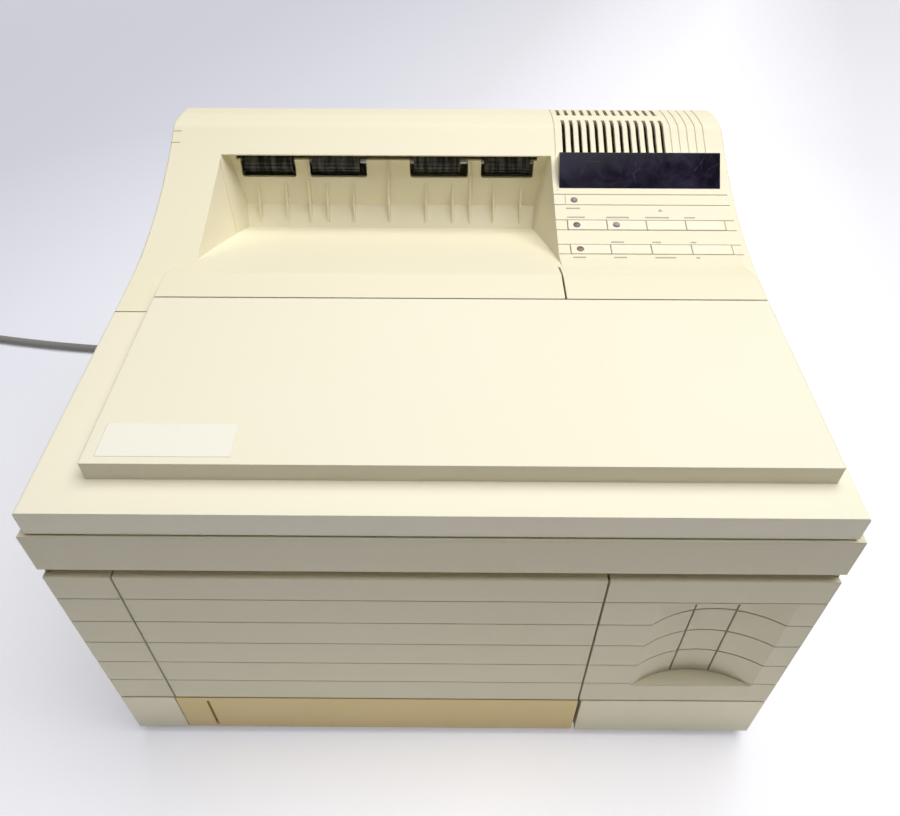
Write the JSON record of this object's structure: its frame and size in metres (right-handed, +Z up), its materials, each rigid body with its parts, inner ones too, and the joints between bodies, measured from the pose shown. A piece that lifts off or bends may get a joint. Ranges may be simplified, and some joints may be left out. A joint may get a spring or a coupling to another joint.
{
  "type": "laser printer",
  "caption": "Ivory desktop laser printer with a hinged top lid, a sunken output bay, keys and a display, a front tray door, a paper cassette and a mains lead",
  "frame": {"origin": "on the surface that the printer stands on, under the middle of its body without the lead", "axes": "+Z up, front at -Y, the viewer's right at +X"},
  "size_m": [0.879, 0.541, 0.297],
  "materials": {
    "ivory": "fine satin moulded texture, slightly yellowed",
    "lid_ivory": "fine satin moulded texture",
    "front_ivory": "fine satin moulded texture",
    "tan": "satin, darker tan",
    "key_ivory": "satin",
    "black_gloss": "glossy dark window",
    "rubber_black": "matte ribbed",
    "dark_plastic": "matte",
    "blue_grey_plastic": "matte",
    "steel": "plain plated steel",
    "board_green": "circuit board",
    "drum_green": "coated drum",
    "white_gear": "acetal",
    "fuser_red": "coated roller",
    "sponge": "foam rubber",
    "pink_marker": "matte",
    "lead_grey": "satin cable sheath",
    "mirror": "polished"
  },
  "bodies": {
    "casing": {"base_pan": "steel", "main_cover": "ivory", "top_cover": "ivory", "left_front_panel": "front_ivory", "right_front_panel": "front_ivory", "left_base_strip": "ivory", "right_base_strip": "ivory", "rubber_feet": "rubber_black", "casing_screws": "steel", "engine_frame": "steel", "lid_hinge_pins": "steel", "display_window": "black_gloss", "control_board": "board_green", "fuser_housing": "blue_grey_plastic", "toner_cartridge": "dark_plastic", "laser_scanner": "dark_plastic", "drive_motor": "steel", "power_supply": "steel", "formatter_board": "board_green", "cooling_fan": "dark_plastic", "ac_inlet": "dark_plastic", "power_connector": "lead_grey", "power_cord": "lead_grey", "cord_coil": "lead_grey", "power_plug": "lead_grey"},
    "lid": {"lid": "lid_ivory"},
    "tray_door": {"tray_door": "front_ivory"},
    "tray_extension": {"tray_extension": "front_ivory"},
    "paper_guide_left": {"paper_guide_left": "blue_grey_plastic"},
    "paper_guide_right": {"paper_guide_right": "blue_grey_plastic"},
    "guide_pinion": {"guide_pinion": "white_gear"},
    "cassette": {"cassette_tray": "dark_plastic", "cassette_front": "tan"},
    "lift_plate": {"lift_plate": "steel"},
    "level_gauge": {"level_gauge": "pink_marker"},
    "length_stop": {"length_stop": "blue_grey_plastic"},
    "power_button": {"power_button": "front_ivory", "power_rod": "white_gear"},
    "face_up_door": {"face_up_door": "ivory"},
    "drive_gear": {"drive_gear": "white_gear"},
    "motor_pinion": {"motor_pinion": "steel"},
    "photo_drum": {"photo_drum": "drum_green"},
    "transfer_roller": {"transfer_roller": "sponge"},
    "heat_roller": {"heat_roller": "fuser_red"},
    "pressure_roller": {"pressure_roller": "rubber_black"},
    "exit_shaft": {"exit_shaft": "steel", "exit_rollers": "rubber_black"},
    "cassette_pickup_roller": {"cassette_pickup_roller": "rubber_black"},
    "tray_pickup_roller": {"tray_pickup_roller": "rubber_black"},
    "registration_roller": {"registration_roller": "rubber_black"},
    "polygon_mirror": {"polygon_mirror": "mirror"},
    "fan_impeller": {"fan_impeller": "dark_plastic"},
    "key_1": {"key_1": "key_ivory"},
    "key_2": {"key_2": "key_ivory"},
    "key_3": {"key_3": "key_ivory"},
    "key_4": {"key_4": "key_ivory"},
    "key_5": {"key_5": "key_ivory"},
    "key_6": {"key_6": "key_ivory"},
    "key_7": {"key_7": "key_ivory"},
    "key_8": {"key_8": "key_ivory"}
  },
  "joints": [
    {"name": "lid_hinge", "type": "hinge", "parent": "casing", "child": "lid", "pos_m": [0, -0.03, 0.24], "axis": [-1, 0, 0], "range_deg": [0, 70]},
    {"name": "tray_door_hinge", "type": "hinge", "parent": "casing", "child": "tray_door", "pos_m": [-0.0425, -0.197, 0.061], "axis": [1, 0, 0], "range_deg": [0, 80]},
    {"name": "tray_extension_slide", "type": "slide", "parent": "tray_door", "child": "tray_extension", "axis": [0, 0, 1], "range_m": [0, 0.05]},
    {"name": "paper_guide_left_slide", "type": "slide", "parent": "tray_door", "child": "paper_guide_left", "axis": [1, 0, 0], "range_m": [0, 0.035]},
    {"name": "paper_guide_right_slide", "type": "slide", "parent": "tray_door", "child": "paper_guide_right", "axis": [-1, 0, 0], "range_m": [0, 0.035]},
    {"name": "guide_pinion_turn", "type": "hinge", "parent": "tray_door", "child": "guide_pinion", "pos_m": [-0.0425, -0.1918, 0.083], "axis": [0, 1, 0], "range_deg": [-200, 0]},
    {"name": "cassette_slide", "type": "slide", "parent": "casing", "child": "cassette", "axis": [0, -1, 0], "range_m": [0, 0.3]},
    {"name": "lift_plate_hinge", "type": "hinge", "parent": "cassette", "child": "lift_plate", "pos_m": [-0.043, 0.04, 0.0185], "axis": [1, 0, 0], "range_deg": [0, 6.4], "stiffness_Nm_per_rad": 2, "springref_deg": -17.19},
    {"name": "level_gauge_slide", "type": "slide", "parent": "cassette", "child": "level_gauge", "axis": [0, 0, 1], "range_m": [0, 0.03]},
    {"name": "length_stop_slide", "type": "slide", "parent": "cassette", "child": "length_stop", "axis": [0, 1, 0], "range_m": [-0.013, 0.018]},
    {"name": "power_button_press", "type": "slide", "parent": "casing", "child": "power_button", "axis": [0, 1, 0], "range_m": [0, 0.004], "stiffness_N_per_m": 300, "springref_m": -0.002},
    {"name": "face_up_door_hinge", "type": "hinge", "parent": "casing", "child": "face_up_door", "pos_m": [-0.042, 0.196, 0.082], "axis": [-1, 0, 0], "range_deg": [0, 85]},
    {"name": "key_1_press", "type": "slide", "parent": "casing", "child": "key_1", "axis": [0, 0.2621, -0.965], "range_m": [0, 0.0012], "stiffness_N_per_m": 400, "springref_m": -0.0005},
    {"name": "key_2_press", "type": "slide", "parent": "casing", "child": "key_2", "axis": [0, 0.2621, -0.965], "range_m": [0, 0.0012], "stiffness_N_per_m": 400, "springref_m": -0.0005},
    {"name": "key_3_press", "type": "slide", "parent": "casing", "child": "key_3", "axis": [0, 0.2621, -0.965], "range_m": [0, 0.0012], "stiffness_N_per_m": 400, "springref_m": -0.0005},
    {"name": "key_4_press", "type": "slide", "parent": "casing", "child": "key_4", "axis": [0, 0.2621, -0.965], "range_m": [0, 0.0012], "stiffness_N_per_m": 400, "springref_m": -0.0005},
    {"name": "key_5_press", "type": "slide", "parent": "casing", "child": "key_5", "axis": [0, 0.1961, -0.9806], "range_m": [0, 0.0012], "stiffness_N_per_m": 400, "springref_m": -0.0005},
    {"name": "key_6_press", "type": "slide", "parent": "casing", "child": "key_6", "axis": [0, 0.1961, -0.9806], "range_m": [0, 0.0012], "stiffness_N_per_m": 400, "springref_m": -0.0005},
    {"name": "key_7_press", "type": "slide", "parent": "casing", "child": "key_7", "axis": [0, 0.1961, -0.9806], "range_m": [0, 0.0012], "stiffness_N_per_m": 400, "springref_m": -0.0005},
    {"name": "key_8_press", "type": "slide", "parent": "casing", "child": "key_8", "axis": [0, 0.1961, -0.9806], "range_m": [0, 0.0012], "stiffness_N_per_m": 400, "springref_m": -0.0005},
    {"name": "drive_gear_turn", "type": "hinge", "parent": "casing", "child": "drive_gear", "pos_m": [-0.18, -0.008, 0.128], "axis": [1, 0, 0], "continuous": true},
    {"name": "motor_pinion_turn", "type": "hinge", "parent": "casing", "child": "motor_pinion", "pos_m": [-0.18, 0.037, 0.128], "axis": [1, 0, 0], "continuous": true},
    {"name": "photo_drum_turn", "type": "hinge", "parent": "casing", "child": "photo_drum", "pos_m": [-0.042, -0.062, 0.128], "axis": [1, 0, 0], "continuous": true},
    {"name": "transfer_roller_turn", "type": "hinge", "parent": "casing", "child": "transfer_roller", "pos_m": [-0.042, -0.062, 0.1047], "axis": [1, 0, 0], "continuous": true},
    {"name": "heat_roller_turn", "type": "hinge", "parent": "casing", "child": "heat_roller", "pos_m": [-0.042, 0.14, 0.1302], "axis": [1, 0, 0], "continuous": true},
    {"name": "pressure_roller_turn", "type": "hinge", "parent": "casing", "child": "pressure_roller", "pos_m": [-0.042, 0.14, 0.0998], "axis": [1, 0, 0], "continuous": true},
    {"name": "exit_shaft_turn", "type": "hinge", "parent": "casing", "child": "exit_shaft", "pos_m": [-0.042, 0.118, 0.2705], "axis": [1, 0, 0], "continuous": true},
    {"name": "cassette_pickup_turn", "type": "hinge", "parent": "casing", "child": "cassette_pickup_roller", "pos_m": [-0.042, -0.15, 0.072], "axis": [1, 0, 0], "continuous": true},
    {"name": "tray_pickup_turn", "type": "hinge", "parent": "casing", "child": "tray_pickup_roller", "pos_m": [-0.042, -0.158, 0.12], "axis": [1, 0, 0], "continuous": true},
    {"name": "registration_turn", "type": "hinge", "parent": "casing", "child": "registration_roller", "pos_m": [-0.042, -0.108, 0.102], "axis": [1, 0, 0], "continuous": true},
    {"name": "polygon_mirror_turn", "type": "hinge", "parent": "casing", "child": "polygon_mirror", "pos_m": [-0.04, 0.05, 0.16], "axis": [0, 0, 1], "continuous": true},
    {"name": "fan_turn", "type": "hinge", "parent": "casing", "child": "fan_impeller", "pos_m": [0.192, -0.08, 0.15], "axis": [1, 0, 0], "continuous": true}
  ],
  "couplings": [
    {"joint": "paper_guide_right_slide", "follows": "paper_guide_left_slide", "ratio": 1},
    {"joint": "guide_pinion_turn", "follows": "paper_guide_left_slide", "rad_per_m": -83.333},
    {"joint": "level_gauge_slide", "follows": "lift_plate_hinge", "m_per_rad": 0.26857},
    {"joint": "motor_pinion_turn", "follows": "drive_gear_turn", "ratio": -4},
    {"joint": "photo_drum_turn", "follows": "drive_gear_turn", "ratio": -2},
    {"joint": "transfer_roller_turn", "follows": "drive_gear_turn", "ratio": 3.6},
    {"joint": "heat_roller_turn", "follows": "drive_gear_turn", "ratio": 2},
    {"joint": "pressure_roller_turn", "follows": "drive_gear_turn", "ratio": -2},
    {"joint": "exit_shaft_turn", "follows": "drive_gear_turn", "ratio": 2}
  ]
}
